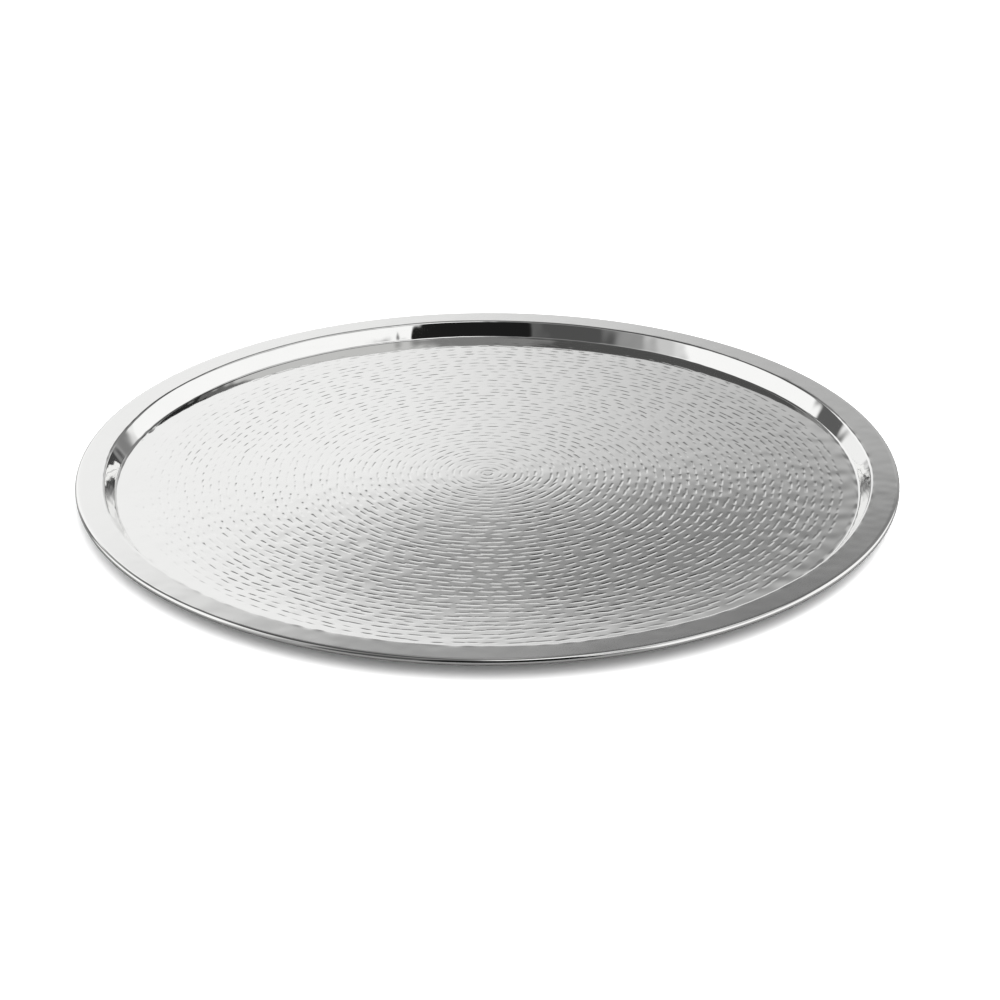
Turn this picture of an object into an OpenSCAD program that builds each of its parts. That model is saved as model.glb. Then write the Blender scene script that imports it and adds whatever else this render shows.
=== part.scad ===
// Round hammered silver salver: one spun sheet with a wired edge.
// Units are millimetres. +Z is up, and the origin is at the middle of the flat
// underside, on the surface that the salver rests on.

/* [Overall] */
// Diameter across the rolled edge
outer_d = 450; // [300:1:600]
// Thickness of the sheet
sheet_t = 1; // [0.8:0.05:1.5]

/* [Well] */
// Depth of the well floor below the top of the rolled edge
well_depth = 9.2; // [8:0.1:20]
// Slope of the well wall from the horizontal, in degrees
wall_angle = 55; // [40:1:75]
// Inner radius of the bend where the floor turns up into the wall
foot_bend_r = 2; // [1:0.1:4]

/* [Rim] */
// Width of the flat part of the rim, along its slope
flange_w = 11.3; // [8:0.5:40]
// Rise of the rim towards its edge, in degrees
flange_angle = 0; // [0:0.1:8]
// Outer radius of the bend where the wall turns over into the rim
shoulder_bend_r = 3.6; // [2:0.1:6]

/* [Rolled edge] */
// Diameter of the wire that stiffens the edge
wire_d = 1.3; // [1:0.1:2]
// Gap left round the wire inside the roll
wire_gap = 0.02; // [0:0.01:0.1]
// Angle that the sheet turns through as it rolls round the wire, in degrees
roll_turn = 278; // [200:1:285]

/* [Hidden] */
// Facets of a full turn about the axis
$fn = 240;
// Degrees between neighbouring points on a bend of the section
bend_step = 5;

outer_r = outer_d / 2;
wire_r = wire_d / 2;
// Radii of the rolled edge, inside and outside the sheet
roll_in_r = wire_r + wire_gap;
roll_out_r = roll_in_r + sheet_t;

// Directions of the outward normal on the upper face of each stretch
up = 90;
flange_normal = up + flange_angle;
wall_normal = up + wall_angle;

// A point at distance r from centre c, in direction a
function polar(c, r, a) = c + r * [cos(a), sin(a)];
// Points on an arc about c, from angle a0 to angle a1
function arc(c, r, a0, a1) =
    let (n = max(2, ceil(abs(a1 - a0) / bend_step)))
    [for (i = [0 : n]) polar(c, r, a0 + (a1 - a0) * i / n)];
// The points of a list in the other order
function flipped(p) = [for (i = [len(p) - 1 : -1 : 0]) p[i]];

// The section, as [radius, height], from the rolled edge inwards.
// Centre of the roll, which touches the outer diameter and the overall height
roll_c = [outer_r - roll_out_r, sheet_t + well_depth - roll_out_r];
// Inner end of the flat rim, on its upper face
flange_in = polar(polar(roll_c, roll_out_r, flange_normal), flange_w, 180 + flange_angle);
// Centre of the bend between the rim and the wall, below the sheet
shoulder_c = polar(flange_in, -shoulder_bend_r, flange_normal);
// Upper end of the wall, on its upper face
wall_top = polar(shoulder_c, shoulder_bend_r, wall_normal);
// Height of the centre of the bend at the foot of the wall, above the sheet
foot_c_z = sheet_t + foot_bend_r;
// Height at which the wall meets that bend
wall_foot_z = foot_c_z - foot_bend_r * cos(wall_angle);
// Length of the straight wall
wall_l = (wall_top.y - wall_foot_z) / sin(wall_angle);
// Centre of the bend at the foot of the wall
foot_c = polar(polar(wall_top, wall_l, 180 + wall_angle), foot_bend_r, wall_normal);

// Upper face of the sheet from the centre of the well to the start of the roll
upper_face = concat(
    [[0, sheet_t]],
    arc(foot_c, foot_bend_r, -up, wall_normal - 180),
    arc(shoulder_c, shoulder_bend_r, wall_normal, flange_normal)
);
// Outside of the roll, clockwise from the rim over the edge and back underneath
roll_outside = arc(roll_c, roll_out_r, flange_normal, flange_normal - roll_turn);
// Lower face of the sheet from the start of the roll to the centre
lower_face = concat(
    arc(shoulder_c, shoulder_bend_r - sheet_t, flange_normal, wall_normal),
    arc(foot_c, foot_bend_r + sheet_t, wall_normal - 180, -up),
    [[0, 0]]
);
roll_inside = arc(roll_c, roll_in_r, flange_normal, flange_normal - roll_turn);

// One sheet: hammered well, wall, rim and the edge rolled round the wire
module tray_body() {
    color("silver")
        rotate_extrude()
            polygon(concat(upper_face, roll_outside, flipped(roll_inside), lower_face));
}

// Ring of wire closed inside the rolled edge
module rim_wire() {
    color("gray")
        rotate_extrude()
            translate(roll_c)
                circle(r = wire_r, $fn = 48);
}

tray_body();
rim_wire();
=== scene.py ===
"""The looks of a round hammered silver salver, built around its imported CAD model.

The sheet is one closed mesh swept from the salver's section: the hammered floor of the
well, the wall, the rim, the edge rolled round its wire, and the underside. The hammer
strokes and the slight unevenness of handwork are in the mesh. Lengths of the salver and of
the camera are set in millimetres, and MM turns them into Blender's metres. Those of the
studio's floor and light are set in metres. Angles are set in degrees.
"""

import math

import bpy
import numpy as np
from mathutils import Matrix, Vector


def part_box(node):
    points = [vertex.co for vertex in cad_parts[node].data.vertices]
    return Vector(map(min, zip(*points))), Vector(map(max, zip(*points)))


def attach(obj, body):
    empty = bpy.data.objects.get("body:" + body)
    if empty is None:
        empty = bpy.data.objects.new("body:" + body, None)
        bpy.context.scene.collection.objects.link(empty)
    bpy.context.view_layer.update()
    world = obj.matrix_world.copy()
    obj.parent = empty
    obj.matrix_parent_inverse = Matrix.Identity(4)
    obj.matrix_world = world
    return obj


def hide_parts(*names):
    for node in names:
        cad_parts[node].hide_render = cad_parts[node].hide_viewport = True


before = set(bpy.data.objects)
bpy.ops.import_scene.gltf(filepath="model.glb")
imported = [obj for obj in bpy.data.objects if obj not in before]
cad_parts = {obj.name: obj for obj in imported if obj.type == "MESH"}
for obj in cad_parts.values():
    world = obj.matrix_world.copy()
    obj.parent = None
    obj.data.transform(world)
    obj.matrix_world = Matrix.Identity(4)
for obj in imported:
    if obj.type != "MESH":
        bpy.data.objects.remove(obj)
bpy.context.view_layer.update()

MM = 0.001

# ---------------------------------------------------------------- section of the sheet
# Close to the CAD model's section: the bend between the wall and the rim is tighter, and the
# flat of the rim is slightly wider and rises a little towards its edge.
# The outer radius and the height come from the frame.
low_corner, high_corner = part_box("tray_body")
OUTER_R = min(-low_corner.x, high_corner.x, -low_corner.y, high_corner.y) / MM
HEIGHT = high_corner.z / MM
SHEET_T = 1.0
WALL_ANGLE = 55.0
FOOT_BEND_R = 2.0
FLANGE_W = 12.5
FLANGE_ANGLE = 0.1
SHOULDER_BEND_R = 2.0
ROLL_IN_R = 0.67
ROLL_TURN = 278.0
ROLL_OUT_R = ROLL_IN_R + SHEET_T
# How far the rolled edge sits below the CAD's height, which leaves room for its unevenness
ROLL_DROP = 0.09
# How far the middle of the wall stands proud of a straight line
WALL_BULGE = 0.08

UP = 90.0
FLANGE_NORMAL = UP + FLANGE_ANGLE
WALL_NORMAL = UP + WALL_ANGLE
WALL_SLOPE = math.radians(WALL_ANGLE)


def polar(centre, radius, angle):
    """A point at a distance from centre, in the direction angle, in the section's plane."""
    a = math.radians(angle)
    return (centre[0] + radius * math.cos(a), centre[1] + radius * math.sin(a))


def arc(centre, radius, start, end, step):
    """Points along an arc of the section, about step degrees apart, both ends included."""
    count = max(2, math.ceil(abs(end - start) / step))
    return [polar(centre, radius, start + (end - start) * i / count) for i in range(count + 1)]


def line(a, b, step, bulge=0.0):
    """Points between a and b, about step apart, without the two ends. Bulge bows it to the left."""
    count = max(1, math.ceil(math.dist(a, b) / step))
    along = ((b[0] - a[0]) / math.dist(a, b), (b[1] - a[1]) / math.dist(a, b))
    points = []
    for i in range(1, count):
        t = i / count
        side = 4 * bulge * t * (1 - t)
        x = a[0] + (b[0] - a[0]) * t - side * along[1]
        z = a[1] + (b[1] - a[1]) * t + side * along[0]
        points.append((x, z))
    return points


ROLL_C = (OUTER_R - ROLL_OUT_R, HEIGHT - ROLL_OUT_R - ROLL_DROP)
FLANGE_OUT = polar(ROLL_C, ROLL_OUT_R, FLANGE_NORMAL)
FLANGE_IN = polar(FLANGE_OUT, FLANGE_W, 180 + FLANGE_ANGLE)
SHOULDER_C = polar(FLANGE_IN, -SHOULDER_BEND_R, FLANGE_NORMAL)
WALL_TOP = polar(SHOULDER_C, SHOULDER_BEND_R, WALL_NORMAL)
WALL_FOOT_Z = SHEET_T + FOOT_BEND_R * (1 - math.cos(WALL_SLOPE))
WALL_L = (WALL_TOP[1] - WALL_FOOT_Z) / math.sin(WALL_SLOPE)
WALL_FOOT = polar(WALL_TOP, WALL_L, 180 + WALL_ANGLE)
FOOT_C = polar(WALL_FOOT, FOOT_BEND_R, WALL_NORMAL)
FLOOR_R = FOOT_C[0]

# ---------------------------------------------------------------- unevenness of handwork
# The floor of the well stands slightly high in the middle, is lowest along a ring, and rises
# from there to the foot of the wall, more in front than behind.
DOME_H = 0.9
LOWEST_R = 140.0
EDGE_RISE = 0.75
FRONT_BIAS = 0.6
# Heights of the small bumps, and how far across they are
FLOOR_UNEVEN = 0.009
FLOOR_WAVE = 14
RIM_GRAIN = 0.004
RIM_GRAIN_WAVE = 9
RIM_UNEVEN = 0.03
# The rim's long swell and short ripple, and how far it is let down, as shares of RIM_UNEVEN
RIM_SWELL = 0.5
RIM_SWELL_WAVE = 230
RIM_RIPPLE = 0.3
RIM_RIPPLE_WAVE = 22
RIM_LET_DOWN = 2
WALL_UNEVEN = 0.065
WALL_WAVE = 11
# The wall's bumps run out over WALL_FADE, and are gone WALL_REACH times that off its middle
WALL_FADE = 4
WALL_REACH = 1.4
# How far the wall and the shoulder wander in and out
SHOULDER_WANDER = 0.3
SHOULDER_WAVE = 90
# The underside's small bumps start this far outside the floor, and grow over this width
UNDER_UNEVEN_FROM = 2
UNDER_UNEVEN_OVER = 4
# Lengths of the waves that are mixed into a field, as shares of its wavelength
WAVE_SPREAD = (0.75, 1.5)


def waves(x, y, wavelength, seed, count=18):
    """A smooth uneven field of height about 1, whose bumps are about wavelength across."""
    local = np.random.default_rng(seed)
    total = np.zeros_like(x)
    for _ in range(count):
        direction = local.uniform(0, 2 * math.pi)
        k = 2 * math.pi / (wavelength * local.uniform(*WAVE_SPREAD))
        phase = local.uniform(0, 2 * math.pi)
        total += np.cos(k * (x * math.cos(direction) + y * math.sin(direction)) + phase)
    return total / math.sqrt(count)


def rise(r, angle):
    """How far the floor has risen at radius r, in a direction from the middle."""
    out = max(0.0, r - LOWEST_R) / (FLOOR_R - LOWEST_R)
    return EDGE_RISE * out ** 2 * (1 - FRONT_BIAS * np.sin(angle))


def floor_height(r, angle):
    """Height of the floor's underside at radius r in each direction."""
    dome = 0.5 * DOME_H * (1 + math.cos(math.pi * min(1.0, r / LOWEST_R)))
    return dome + rise(r, angle)


def uneven(points):
    """How far each point of the sheet is moved up by small bumps."""
    x, y = points[:, 0], points[:, 1]
    r = np.hypot(x, y)
    on_rim = np.clip((r - FLOOR_R) / (FLANGE_IN[0] - FLOOR_R), 0, 1)
    off_middle = abs(r - (FLOOR_R + FLANGE_IN[0]) / 2)
    on_wall = np.clip(WALL_REACH - off_middle / WALL_FADE, 0, 1)
    floor = FLOOR_UNEVEN * waves(x, y, FLOOR_WAVE, seed=3) * (1 - on_rim)
    swell = RIM_SWELL * waves(x, y, RIM_SWELL_WAVE, seed=5)
    ripple = RIM_RIPPLE * waves(x, y, RIM_RIPPLE_WAVE, seed=6)
    rim = RIM_UNEVEN * (swell + ripple - RIM_LET_DOWN) * on_rim
    rim += RIM_GRAIN * waves(x, y, RIM_GRAIN_WAVE, seed=12) * on_rim
    wall = WALL_UNEVEN * waves(x, y, WALL_WAVE, seed=8) * on_wall
    return floor + rim + wall


# ---------------------------------------------------------------- hammer strokes
# Rings of short strokes, each a groove along its ring that runs out at both ends. A groove is
# steep on the side of the centre and gentle on the outside. A shallow face reaches from it
# towards the centre, further than the groove does.
rng = np.random.default_rng(14)
FIRST_RING_R = 3.2
LAST_RING_R = 194.5
RING_STEP_INNER = 3.7
RING_STEP_OUTER = 4.6
RING_STEP_GROWS_TO_R = 70.0
STROKE_L = 7.0
STROKE_GAP = 2.1
STROKE_GAP_INNER = 1.0
GROOVE_INNER_W = 0.55
GROOVE_OUTER_W = 1.08
GROOVE_DEPTH = 0.09
FACE_W = 2.2
FACE_DEPTH = 0.015
# Powers that shape a stroke along its length, and the face and the groove across it
ENDS_POWER = 3.5
FACE_POWER = 1.5
GROOVE_POWER = 1.5
FEWEST_IN_RING = 3
# The strokes get shallower from this radius outwards, down to this share of their depth
FADE_FROM_R = 172.0
LEAST_FADE = 0.5
# Share of the full depth that the strokes have at the centre
CENTRE_DEPTH = 0.5
# How much shallower the strokes are on one side of the salver, and which way that side lies
SHALLOW_SIDE = 0.5
SHALLOW_TOWARDS = math.radians(110)
# Lean of the strokes off their ring, in degrees: each one's own, and the one that neighbours
# share over patches about SKEW_WAVE across
SKEW_JITTER = 3
SKEW_SWAY = 5.0
SKEW_WAVE = 90
# How far a stroke strays from its ring
RADIUS_JITTER = 0.42
# Shift along the ring, as a share of the distance between strokes
SPACING_JITTER = 0.25
# Ranges of the length and the two depths, as shares of the values above
LENGTHS = (0.72, 1.2)
GROOVE_DEPTHS = (0.45, 1.4)
FACE_DEPTHS = (0.2, 1.6)


def ring_radii():
    """Radii of the rings of strokes, closer together near the centre."""
    radii = [FIRST_RING_R]
    while radii[-1] < LAST_RING_R:
        near = min(1.0, radii[-1] / RING_STEP_GROWS_TO_R)
        radii.append(radii[-1] + RING_STEP_INNER + (RING_STEP_OUTER - RING_STEP_INNER) * near)
    return radii[:-1]


def strokes():
    """Each stroke as (radius, angle in radians, half length, groove depth, face depth, skew)."""
    made = []
    for r in ring_radii():
        near = min(1.0, r / RING_STEP_GROWS_TO_R)
        gap = STROKE_GAP_INNER + (STROKE_GAP - STROKE_GAP_INNER) * near
        count = max(FEWEST_IN_RING, round(2 * math.pi * r / (STROKE_L + gap)))
        start = rng.uniform(0, 2 * math.pi)
        outwards = min(1.0, max(0.0, (r - FADE_FROM_R) / (LAST_RING_R - FADE_FROM_R)))
        fade = 1 - (1 - LEAST_FADE) * outwards
        fade *= CENTRE_DEPTH + (1 - CENTRE_DEPTH) * near
        for i in range(count):
            angle = start + (i + rng.uniform(-SPACING_JITTER, SPACING_JITTER)) * 2 * math.pi / count
            force = fade * (1 - SHALLOW_SIDE * (0.5 + 0.5 * math.cos(angle - SHALLOW_TOWARDS)))
            made.append((
                r + rng.normal(0, RADIUS_JITTER),
                angle,
                0.5 * STROKE_L * rng.uniform(*LENGTHS),
                GROOVE_DEPTH * force * rng.uniform(*GROOVE_DEPTHS),
                FACE_DEPTH * force * rng.uniform(*FACE_DEPTHS),
                rng.normal(0, math.radians(SKEW_JITTER)),
            ))
    made = np.array(made)
    x = made[:, 0] * np.cos(made[:, 1])
    y = made[:, 0] * np.sin(made[:, 1])
    sway = waves(x, y, SKEW_WAVE, seed=21)
    made[:, 5] += math.radians(SKEW_SWAY) * sway
    return made


def stroke_cut(across, along, half_l, groove_depth, face_depth):
    """Depth of one stroke at points across and along from its middle."""
    v = np.clip(along / half_l, -1, 1)
    ends = 1 - np.abs(v) ** ENDS_POWER
    inner = np.clip(1 + across / FACE_W, 0, 1)
    outer = np.clip(1 - across / GROOVE_OUTER_W, 0, 1)
    face = face_depth * np.where(across < 0, inner, outer) ** FACE_POWER
    u = np.clip(across / np.where(across < 0, GROOVE_INNER_W, GROOVE_OUTER_W), -1, 1)
    return ends * (face + groove_depth * (1 - u * u) ** GROOVE_POWER)


# ---------------------------------------------------------------- the sheet's mesh
# Rows of points round the axis, from the centre of the floor outwards, over the edge and
# back underneath. A row has fewer columns where it is shorter.
COLUMNS = 1024
FLOOR_ROW_STEP = 0.32
FEWEST_COLUMNS = 32
FULL_COLUMNS_R = 102.0
# Degrees between the rows of each bend, and millimetres between those of the wall and the rim
FOOT_STEP = 6
SHOULDER_STEP = 5
ROLL_TOP_STEP = 8
ROLL_UNDER_STEP = 10
ROLL_IN_STEP = 20
LOWER_BEND_STEP = 8
WALL_STEP = 0.6
FLANGE_STEP = 0.9
# The rows of the foot's bend start this many degrees up it
FOOT_START = 3
# The angle round the roll at which the upper rows end and the lower rows start
ROLL_SPLIT = 100
# The underside's rows: how near they come to the bend and to the centre, and the distance
# between them, which is at least a step and at least a share of their radius
UNDERSIDE_GAP = 3.0
UNDERSIDE_LEAST_R = 4
UNDERSIDE_STEP = 3.0
UNDERSIDE_STEP_SHARE = 0.06


def columns_at(r):
    """The number of points in a row of radius r: it halves each time the radius does."""
    columns = COLUMNS
    limit = FULL_COLUMNS_R
    while r < limit and columns > FEWEST_COLUMNS:
        columns //= 2
        limit /= 2
    return columns


def directions(n):
    """The angles of a row's n points about the axis."""
    return np.arange(n) * (2 * math.pi / n)


def floor_rows():
    """Radii of the floor's rows, without the centre."""
    count = round(FLOOR_R / FLOOR_ROW_STEP)
    return [FLOOR_R * i / count for i in range(1, count)]


def stamp_strokes(radii, columns):
    """The strokes' depth at each point of the floor's rows, as one array a row."""
    depths = [np.zeros(n) for n in columns]
    radii = np.array(radii)
    for r0, a0, half_l, groove_depth, face_depth, skew in strokes():
        slant = half_l * abs(math.sin(skew))
        first, last = np.searchsorted(radii, (r0 - FACE_W - slant, r0 + GROOVE_OUTER_W + slant))
        for row in range(first, last):
            n = columns[row]
            r = radii[row]
            turn = 2 * math.pi / n
            span = half_l / r
            cols = np.arange(math.floor((a0 - span) / turn), math.ceil((a0 + span) / turn) + 1)
            along = r * (cols * turn - a0)
            across = (r - r0) - along * math.sin(skew)
            cut = stroke_cut(across, along, half_l, groove_depth, face_depth)
            cols %= n
            depths[row][cols] = np.maximum(depths[row][cols], cut)
    return depths


def round_row(r, z, n):
    """The points of one row: r and z may be numbers or arrays of n."""
    a = directions(n)
    r = np.broadcast_to(r, n)
    z = np.broadcast_to(z, n)
    return np.stack([r * np.cos(a), r * np.sin(a), z], 1)


def slid_row(point, share):
    """A row of the section that moves up the wall with the floor's edge, by a share of its rise."""
    a = directions(COLUMNS)
    lift = share * rise(FLOOR_R, a)
    return round_row(point[0] + lift / math.tan(WALL_SLOPE), point[1] + lift, COLUMNS)


def wander(row):
    """Moves the wall and the shoulder in and out a little, and leaves the floor and the edge."""
    r = np.hypot(row[:, 0], row[:, 1])
    inside = np.clip((r - FLOOR_R) / (FLANGE_IN[0] - FLOOR_R), 0, 1)
    outside = np.clip((FLANGE_OUT[0] - r) / (FLANGE_OUT[0] - FLANGE_IN[0]), 0, 1)
    x = row[:, 0] / r * OUTER_R
    y = row[:, 1] / r * OUTER_R
    shift = SHOULDER_WANDER * waves(x, y, SHOULDER_WAVE, seed=11)
    row[:, :2] *= (1 + shift * np.minimum(inside, outside) / r)[:, None]


def join_rows(rows):
    """Vertices, quads and triangles of the skin through rows that start and end at a point."""
    starts = np.cumsum([0] + [len(row) for row in rows])
    quads = []
    triangles = []
    for i in range(len(rows) - 1):
        a, b = starts[i], starts[i + 1]
        na, nb = len(rows[i]), len(rows[i + 1])
        if na == nb:
            j = np.arange(na)
            k = (j + 1) % na
            quads.append(np.stack([a + j, b + j, b + k, a + k], 1))
        elif na == 1:
            j = np.arange(nb)
            triangles.append(np.stack([np.full(nb, a), b + j, b + (j + 1) % nb], 1))
        elif nb == 1:
            j = np.arange(na)
            triangles.append(np.stack([a + j, np.full(na, b), a + (j + 1) % na], 1))
        elif nb == 2 * na:
            j = np.arange(na)
            k = (j + 1) % na
            triangles.append(np.stack([a + j, b + 2 * j, b + 2 * j + 1], 1))
            triangles.append(np.stack([a + j, b + 2 * j + 1, a + k], 1))
            triangles.append(np.stack([a + k, b + 2 * j + 1, b + (2 * j + 2) % nb], 1))
        else:
            j = np.arange(nb)
            k = (j + 1) % nb
            triangles.append(np.stack([a + 2 * j, b + j, a + 2 * j + 1], 1))
            triangles.append(np.stack([a + 2 * j + 1, b + j, b + k], 1))
            triangles.append(np.stack([a + 2 * j + 1, b + k, a + (2 * j + 2) % na], 1))
    return np.concatenate(rows), np.concatenate(quads), np.concatenate(triangles)


def mesh_object(name, points, quads, triangles):
    """A smooth-shaded mesh object from arrays of points in millimetres and of face corners."""
    mesh = bpy.data.meshes.new(name)
    mesh.vertices.add(len(points))
    mesh.vertices.foreach_set("co", (points * MM).astype(np.float32).ravel())
    corners = np.concatenate([quads.ravel(), triangles.ravel()])
    sizes = np.concatenate([np.full(len(quads), 4), np.full(len(triangles), 3)])
    mesh.loops.add(len(corners))
    mesh.loops.foreach_set("vertex_index", corners.astype(np.int32))
    mesh.polygons.add(len(sizes))
    first_corners = np.concatenate([[0], np.cumsum(sizes)[:-1]])
    mesh.polygons.foreach_set("loop_start", first_corners.astype(np.int32))
    mesh.update(calc_edges=True)
    mesh.polygons.foreach_set("use_smooth", np.ones(len(sizes), bool))
    obj = bpy.data.objects.new(name, mesh)
    bpy.context.scene.collection.objects.link(obj)
    return obj


def upper_rows():
    """Rows of the floor's upper face, the wall, the rim and the upper part of the rolled edge."""
    radii = floor_rows()
    columns = [columns_at(r) for r in radii]
    grooves = stamp_strokes(radii, columns)
    rows = []
    for r, n, groove in zip(radii, columns, grooves):
        height = SHEET_T + floor_height(r, directions(n)) - groove
        rows.append(round_row(r, height, n))
    foot = arc(FOOT_C, FOOT_BEND_R, FOOT_START - UP, WALL_NORMAL - 180, FOOT_STEP)
    rows += [slid_row(p, 1) for p in foot]
    wall = line(WALL_FOOT, WALL_TOP, WALL_STEP, bulge=WALL_BULGE)
    rows += [slid_row(p, 1 - (i + 1) / (len(wall) + 1)) for i, p in enumerate(wall)]
    turned = (
        arc(SHOULDER_C, SHOULDER_BEND_R, WALL_NORMAL, FLANGE_NORMAL, SHOULDER_STEP)
        + line(FLANGE_IN, FLANGE_OUT, FLANGE_STEP)
        + arc(ROLL_C, ROLL_OUT_R, FLANGE_NORMAL, FLANGE_NORMAL - ROLL_SPLIT, ROLL_TOP_STEP)
    )
    return rows + [slid_row(p, 0) for p in turned]


def lower_rows():
    """Rows of the rest of the rolled edge, the inside of the roll and the underside."""
    end = FLANGE_NORMAL - ROLL_TURN
    turned = (
        arc(ROLL_C, ROLL_OUT_R, FLANGE_NORMAL - ROLL_SPLIT, end, ROLL_UNDER_STEP)[1:]
        + arc(ROLL_C, ROLL_IN_R, end, FLANGE_NORMAL, ROLL_IN_STEP)
        + arc(SHOULDER_C, SHOULDER_BEND_R - SHEET_T, FLANGE_NORMAL, WALL_NORMAL, LOWER_BEND_STEP)
    )
    rows = [slid_row(p, 0) for p in turned]
    foot_r = FOOT_BEND_R + SHEET_T
    foot = arc(FOOT_C, foot_r, WALL_NORMAL - 180, FOOT_START - UP, LOWER_BEND_STEP)
    rows += [slid_row(p, 1) for p in foot]
    r = FLOOR_R - UNDERSIDE_GAP
    while r > UNDERSIDE_LEAST_R:
        n = columns_at(r)
        rows.append(round_row(r, floor_height(r, directions(n)), n))
        r -= max(UNDERSIDE_STEP, UNDERSIDE_STEP_SHARE * r)
    return rows


def sheet():
    """The whole sheet as one closed mesh."""
    upper = upper_rows()
    lower = lower_rows()
    for row in upper + lower:
        wander(row)
    for row in upper:
        row[:, 2] += uneven(row)
    for row in lower:
        r = np.hypot(row[:, 0], row[:, 1])
        row[:, 2] += uneven(row) * np.clip((r - FLOOR_R - UNDER_UNEVEN_FROM) / UNDER_UNEVEN_OVER, 0, 1)
    top = np.array([[0.0, 0.0, SHEET_T + floor_height(0, 0)]])
    bottom = np.array([[0.0, 0.0, floor_height(0, 0)]])
    return mesh_object("hammered_sheet", *join_rows([top] + upper + lower + [bottom]))


# ---------------------------------------------------------------- materials
def new_material(name):
    """A material with an empty node tree, and that tree."""
    material = bpy.data.materials.new(name)
    material.use_nodes = True
    material.node_tree.nodes.clear()
    return material, material.node_tree


def math_node(tree, operation, a, b=None, c=None):
    """A Math node on sockets or numbers, and its output."""
    node = tree.nodes.new("ShaderNodeMath")
    node.operation = operation
    for socket, value in zip(node.inputs, (a, b, c)):
        if value is None:
            continue
        if isinstance(value, (int, float)):
            socket.default_value = value
        else:
            tree.links.new(value, socket)
    return node.outputs[0]


def zone(tree, radius, inner, outer, soft):
    """1 where the radius is between inner and outer, in millimetres, blending over soft."""
    start = tree.nodes.new("ShaderNodeMapRange")
    start.interpolation_type = "SMOOTHSTEP"
    start.inputs["From Min"].default_value = inner * MM - soft * MM
    start.inputs["From Max"].default_value = inner * MM + soft * MM
    end = tree.nodes.new("ShaderNodeMapRange")
    end.interpolation_type = "SMOOTHSTEP"
    end.inputs["From Min"].default_value = outer * MM + soft * MM
    end.inputs["From Max"].default_value = outer * MM - soft * MM
    tree.links.new(radius, start.inputs["Value"])
    tree.links.new(radius, end.inputs["Value"])
    return math_node(tree, "MULTIPLY", start.outputs["Result"], end.outputs["Result"])


# Roughness of the plate, how much it varies, and what the hammered floor and the rim add
POLISH = 0.03
POLISH_VARIES = 0.04
HAMMERED_ADDS = 0.03
RIM_ADDS = 0.08
# Where those two zones lie, and how softly they end. The hammered one takes in the centre.
HAMMERED_FROM_R = -10
HAMMERED_TO_R = LAST_RING_R - 8
HAMMERED_SOFT = 5
RIM_FROM_R = FLANGE_IN[0] + 0.3
RIM_TO_R = OUTER_R - 2.4
RIM_SOFT = 0.5


def silver_material():
    """Polished silver plate, bright on the wall and softer on the hammered floor and the flat rim."""
    material, tree = new_material("silver_plate")
    link = tree.links.new
    out = tree.nodes.new("ShaderNodeOutputMaterial")
    metal = tree.nodes.new("ShaderNodeBsdfPrincipled")
    metal.inputs["Metallic"].default_value = 1.0
    metal.inputs["Anisotropic"].default_value = 0.55
    metal.inputs["Anisotropic Rotation"].default_value = 0.25
    place = tree.nodes.new("ShaderNodeTexCoord")
    tangent = tree.nodes.new("ShaderNodeTangent")
    tangent.direction_type = "RADIAL"
    tangent.axis = "Z"
    link(tangent.outputs["Tangent"], metal.inputs["Tangent"])
    flat = tree.nodes.new("ShaderNodeVectorMath")
    flat.operation = "MULTIPLY"
    flat.inputs[1].default_value = (1, 1, 0)
    link(place.outputs["Object"], flat.inputs[0])
    length = tree.nodes.new("ShaderNodeVectorMath")
    length.operation = "LENGTH"
    link(flat.outputs["Vector"], length.inputs[0])
    radius = length.outputs["Value"]
    hammered = zone(tree, radius, HAMMERED_FROM_R, HAMMERED_TO_R, HAMMERED_SOFT)
    rim = zone(tree, radius, RIM_FROM_R, RIM_TO_R, RIM_SOFT)
    cloud = tree.nodes.new("ShaderNodeTexNoise")
    cloud.inputs["Scale"].default_value = 28
    cloud.inputs["Detail"].default_value = 6
    link(place.outputs["Object"], cloud.inputs["Vector"])
    base = math_node(tree, "MULTIPLY_ADD", cloud.outputs["Fac"], POLISH_VARIES, POLISH)
    with_well = math_node(tree, "MULTIPLY_ADD", hammered, HAMMERED_ADDS, base)
    rough = math_node(tree, "MULTIPLY_ADD", rim, RIM_ADDS, with_well)
    link(rough, metal.inputs["Roughness"])
    tone = tree.nodes.new("ShaderNodeValToRGB")
    tone.color_ramp.elements[0].color = (0.90, 0.90, 0.89, 1)
    tone.color_ramp.elements[1].color = (0.95, 0.95, 0.94, 1)
    link(cloud.outputs["Fac"], tone.inputs["Fac"])
    link(tone.outputs["Color"], metal.inputs["Base Color"])
    link(metal.outputs["BSDF"], out.inputs["Surface"])
    return material


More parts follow.
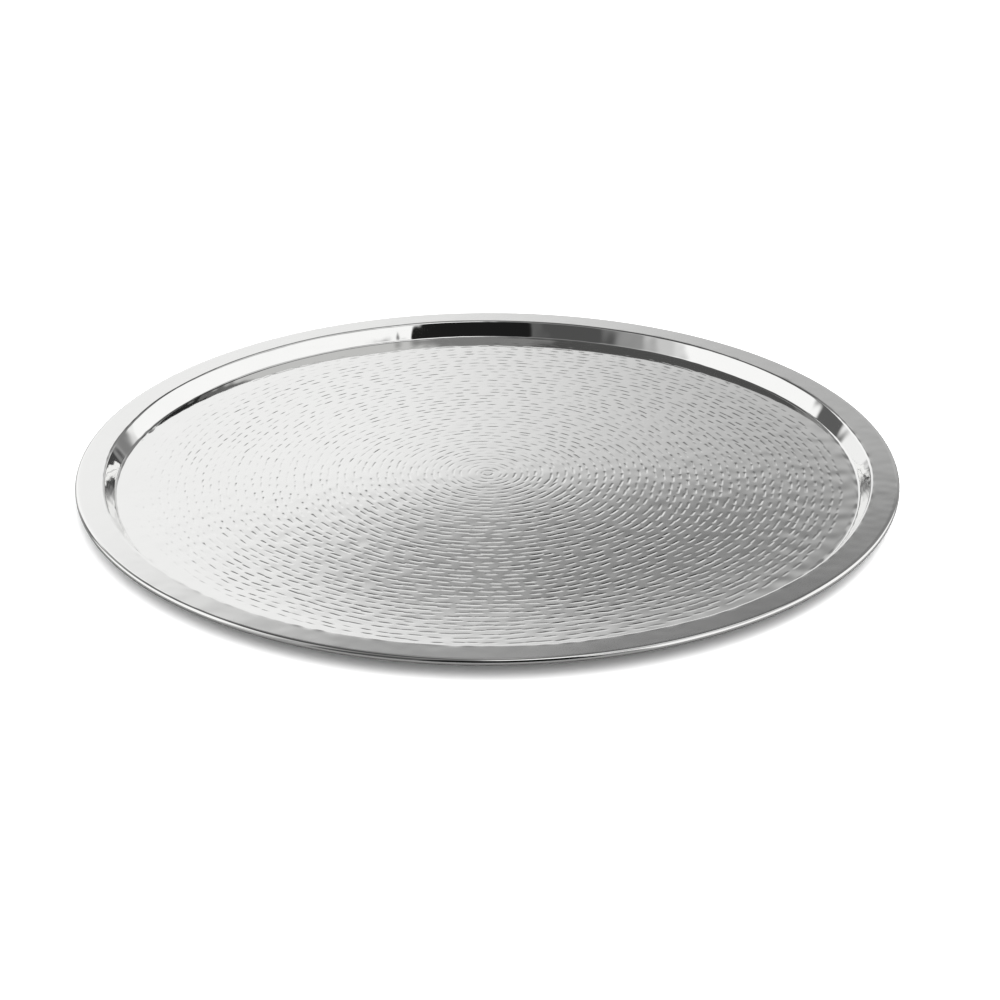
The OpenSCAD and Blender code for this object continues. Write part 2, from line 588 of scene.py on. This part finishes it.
def wire_material():
    """Drawn steel wire, dull, with a fine grain."""
    material, tree = new_material("edge_wire")
    link = tree.links.new
    out = tree.nodes.new("ShaderNodeOutputMaterial")
    metal = tree.nodes.new("ShaderNodeBsdfPrincipled")
    metal.inputs["Metallic"].default_value = 1.0
    place = tree.nodes.new("ShaderNodeTexCoord")
    grain = tree.nodes.new("ShaderNodeTexNoise")
    grain.inputs["Scale"].default_value = 400
    link(place.outputs["Object"], grain.inputs["Vector"])
    rough = tree.nodes.new("ShaderNodeMapRange")
    rough.inputs["To Min"].default_value = 0.35
    rough.inputs["To Max"].default_value = 0.55
    link(grain.outputs["Fac"], rough.inputs["Value"])
    link(rough.outputs["Result"], metal.inputs["Roughness"])
    tone = tree.nodes.new("ShaderNodeValToRGB")
    tone.color_ramp.elements[0].color = (0.42, 0.42, 0.43, 1)
    tone.color_ramp.elements[1].color = (0.56, 0.56, 0.57, 1)
    link(grain.outputs["Fac"], tone.inputs["Fac"])
    link(tone.outputs["Color"], metal.inputs["Base Color"])
    link(metal.outputs["BSDF"], out.inputs["Surface"])
    return material


def floor_material():
    """White matt card with a faint grain. The metal mirrors it as dark grey, which is painted shade
    standing in for the floor in the salver's shadow.
    """
    material, tree = new_material("white_card_painted_shade_in_mirrors")
    out = tree.nodes.new("ShaderNodeOutputMaterial")
    card = tree.nodes.new("ShaderNodeBsdfPrincipled")
    place = tree.nodes.new("ShaderNodeTexCoord")
    grain = tree.nodes.new("ShaderNodeTexNoise")
    grain.inputs["Scale"].default_value = 40
    tree.links.new(place.outputs["Object"], grain.inputs["Vector"])
    white = tree.nodes.new("ShaderNodeValToRGB")
    white.color_ramp.elements[0].color = (0.9, 0.9, 0.9, 1)
    white.color_ramp.elements[1].color = (0.93, 0.93, 0.93, 1)
    tree.links.new(grain.outputs["Fac"], white.inputs["Fac"])
    # Painted shade: rays that the metal mirrors see this card as dark grey instead of white, in place
    # of the shadowed floor next to the salver
    seen = tree.nodes.new("ShaderNodeLightPath")
    tone = tree.nodes.new("ShaderNodeMix")
    tone.data_type = "RGBA"
    tree.links.new(white.outputs["Color"], tone.inputs["A"])
    tone.inputs["B"].default_value = (0.14, 0.14, 0.14, 1)
    tree.links.new(seen.outputs["Is Glossy Ray"], tone.inputs["Factor"])
    tree.links.new(tone.outputs["Result"], card.inputs["Base Color"])
    card.inputs["Roughness"].default_value = 0.8
    card.inputs["Specular IOR Level"].default_value = 0.2
    tree.links.new(card.outputs["BSDF"], out.inputs["Surface"])
    return material


# ---------------------------------------------------------------- the object
salver = sheet()
salver.data.materials.append(silver_material())
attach(salver, "root")
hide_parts("tray_body")
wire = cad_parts["rim_wire"]
wire.data.materials.clear()
wire.data.materials.append(wire_material())

# ---------------------------------------------------------------- the studio
# Directions are an azimuth clockwise from straight behind the salver, and a height above
# the horizon.


def stage_floor():
    """A wide white floor just under the salver."""
    half = 12.0
    drop = 0.00005
    mesh = bpy.data.meshes.new("floor")
    corners = [(-half, -half, -drop), (half, -half, -drop), (half, half, -drop), (-half, half, -drop)]
    mesh.from_pydata(corners, [], [(0, 1, 2, 3)])
    obj = bpy.data.objects.new("floor", mesh)
    bpy.context.scene.collection.objects.link(obj)
    mesh.materials.append(floor_material())


def soft_band(tree, value, centre, half, edge):
    """1 where value is within half of centre, and 0 beyond it, blending over edge each way."""
    offset = math_node(tree, "ABSOLUTE", math_node(tree, "SUBTRACT", value, centre))
    band = tree.nodes.new("ShaderNodeMapRange")
    band.interpolation_type = "SMOOTHSTEP"
    band.inputs["From Min"].default_value = half + edge
    band.inputs["From Max"].default_value = half - edge
    tree.links.new(offset, band.inputs["Value"])
    return band.outputs["Result"]


# name: azimuths from and to, their soft edge, heights from and to, their soft edge, brightness.
# A later one covers an earlier one.
CARDS = {
    "back_wall": (-60, 12, 22, -40, 25.1, 1, 0.68),
    "left_window": (-130, 1, 6.6, -40, 29.5, 1.4, 0.92),
    "far_left": (-130, -14, 5, -40, 31, 1.5, 1.0),
    "dark_back": (-6, 10, 5, 27.5, 31, 2.3, 0.145),
    "high_back": (-1, 14, 4, 31.8, 38, 2, 0.6),
    "white_sweep": (-60, 30, 8, -40, 14.5, 4, 0.92),
    "right_gap": (9, 33, 2, -40, 8, 3, 0.06),
    "low_left": (-25, -9, 3, -40, 8, 3, 0.2),
    "left_gap": (-54.5, -42, 2.5, -2, 30, 4, 0.11),
    "beam_left": (-85, -5, 3, 38, 82, 2, 0.08),
    "beam_right": (2, 19, 1.5, 32, 47, 2, 0.02),
    "beam_end": (19, 30, 1.5, 36, 53, 2, 0.13),
    "ceiling_right": (28, 110, 3, 48, 79, 3, 0.6),
    "light_grey": (238, 254, 6, -40, 60, 4, 0.6),
    "left_front_window": (253, 303, 5, -40, 54, 4, 1.0),
    "right_window": (42, 138, 3, -40, 44, 4, 1.0),
    "front_right": (100, 151, 1.5, 40, 54, 3, 1.0),
    "dark_front": (151, 198, 1.5, -40, 66, 3, 0.012),
    "front_left": (198, 227, 4, -40, 60, 5, 0.08),
    "mid_grey": (228, 239, 6, -40, 60, 4, 0.3),
    "overhead": (105, 182, 12, 68, 82, 3, 1.5),
}
CEILING = 0.22
# Even light that falls on the matt floor from all round
SOFT_LIGHT = 2.0


def studio_world():
    """Plain white for the camera and even light for matt surfaces.

    The metal mirrors soft-edged cards on a grey ceiling.
    """
    world = bpy.data.worlds.new("studio")
    bpy.context.scene.world = world
    world.use_nodes = True
    tree = world.node_tree
    tree.nodes.clear()
    link = tree.links.new
    place = tree.nodes.new("ShaderNodeTexCoord")
    split = tree.nodes.new("ShaderNodeSeparateXYZ")
    link(place.outputs["Generated"], split.inputs[0])
    x, y, z = split.outputs
    azimuth = math_node(tree, "MULTIPLY", math_node(tree, "ARCTAN2", x, y), 180 / math.pi)
    height = math_node(tree, "MULTIPLY", math_node(tree, "ARCSINE", z), 180 / math.pi)
    level = CEILING
    for name, (az_from, az_to, az_soft, el_from, el_to, el_soft, brightness) in CARDS.items():
        az = (az_from + az_to) / 2
        around = math_node(tree, "WRAP", azimuth, az + 180, az - 180)
        across = soft_band(tree, around, az, (az_to - az_from) / 2, az_soft)
        up = soft_band(tree, height, (el_from + el_to) / 2, (el_to - el_from) / 2, el_soft)
        mix = tree.nodes.new("ShaderNodeMix")
        mix.label = name
        link(math_node(tree, "MULTIPLY", across, up), mix.inputs["Factor"])
        if isinstance(level, float):
            mix.inputs["A"].default_value = level
        else:
            link(level, mix.inputs["A"])
        mix.inputs["B"].default_value = brightness
        level = mix.outputs["Result"]
    seen = tree.nodes.new("ShaderNodeLightPath")
    soft = tree.nodes.new("ShaderNodeMix")
    link(seen.outputs["Is Diffuse Ray"], soft.inputs["Factor"])
    link(level, soft.inputs["A"])
    soft.inputs["B"].default_value = SOFT_LIGHT
    level = soft.outputs["Result"]
    sky = tree.nodes.new("ShaderNodeBackground")
    sky.inputs["Color"].default_value = (1, 1, 1, 1)
    link(level, sky.inputs["Strength"])
    plain = tree.nodes.new("ShaderNodeBackground")
    plain.inputs["Color"].default_value = (1, 1, 1, 1)
    plain.inputs["Strength"].default_value = 1.0
    choose = tree.nodes.new("ShaderNodeMixShader")
    out = tree.nodes.new("ShaderNodeOutputWorld")
    link(seen.outputs["Is Camera Ray"], choose.inputs["Fac"])
    link(sky.outputs["Background"], choose.inputs[1])
    link(plain.outputs["Background"], choose.inputs[2])
    link(choose.outputs[0], out.inputs["Surface"])


def area_light(name, azimuth, height, distance, size, power, glossy):
    """A square area light aimed at the salver. Glossy says whether the metal mirrors it."""
    light = bpy.data.lights.new(name, "AREA")
    light.shape = "SQUARE"
    light.size = size
    light.energy = power
    obj = bpy.data.objects.new(name, light)
    bpy.context.scene.collection.objects.link(obj)
    a, e = math.radians(azimuth), math.radians(height)
    direction = Vector((math.sin(a) * math.cos(e), math.cos(a) * math.cos(e), math.sin(e)))
    obj.location = direction * distance
    obj.rotation_euler = (-obj.location).to_track_quat("-Z", "Y").to_euler()
    obj.visible_glossy = glossy
    return obj


# The camera's distance, its height above the horizon in degrees, the point that it looks at,
# which is as high as the rim, and its lens
CAMERA_DISTANCE = 1350
CAMERA_HEIGHT = 24.7
AIM_X = 6.5
AIM_Y = -51.2
LENS = 88.1


def camera():
    """The camera, a long lens a little above the salver."""
    distance = CAMERA_DISTANCE * MM
    height = math.radians(CAMERA_HEIGHT)
    aim = Vector((AIM_X * MM, AIM_Y * MM, HEIGHT * MM))
    data = bpy.data.cameras.new("camera")
    data.lens = LENS
    data.sensor_width = 36
    data.clip_start = 0.01
    data.clip_end = 60
    obj = bpy.data.objects.new("camera", data)
    bpy.context.scene.collection.objects.link(obj)
    obj.location = (0, -distance * math.cos(height), HEIGHT * MM + distance * math.sin(height))
    obj.rotation_euler = (aim - obj.location).to_track_quat("-Z", "Y").to_euler()
    bpy.context.scene.camera = obj


stage_floor()
studio_world()
area_light("key", azimuth=40, height=32, distance=3.0, size=2.0, power=90, glossy=False)
camera()
bpy.context.scene.view_settings.view_transform = "Standard"
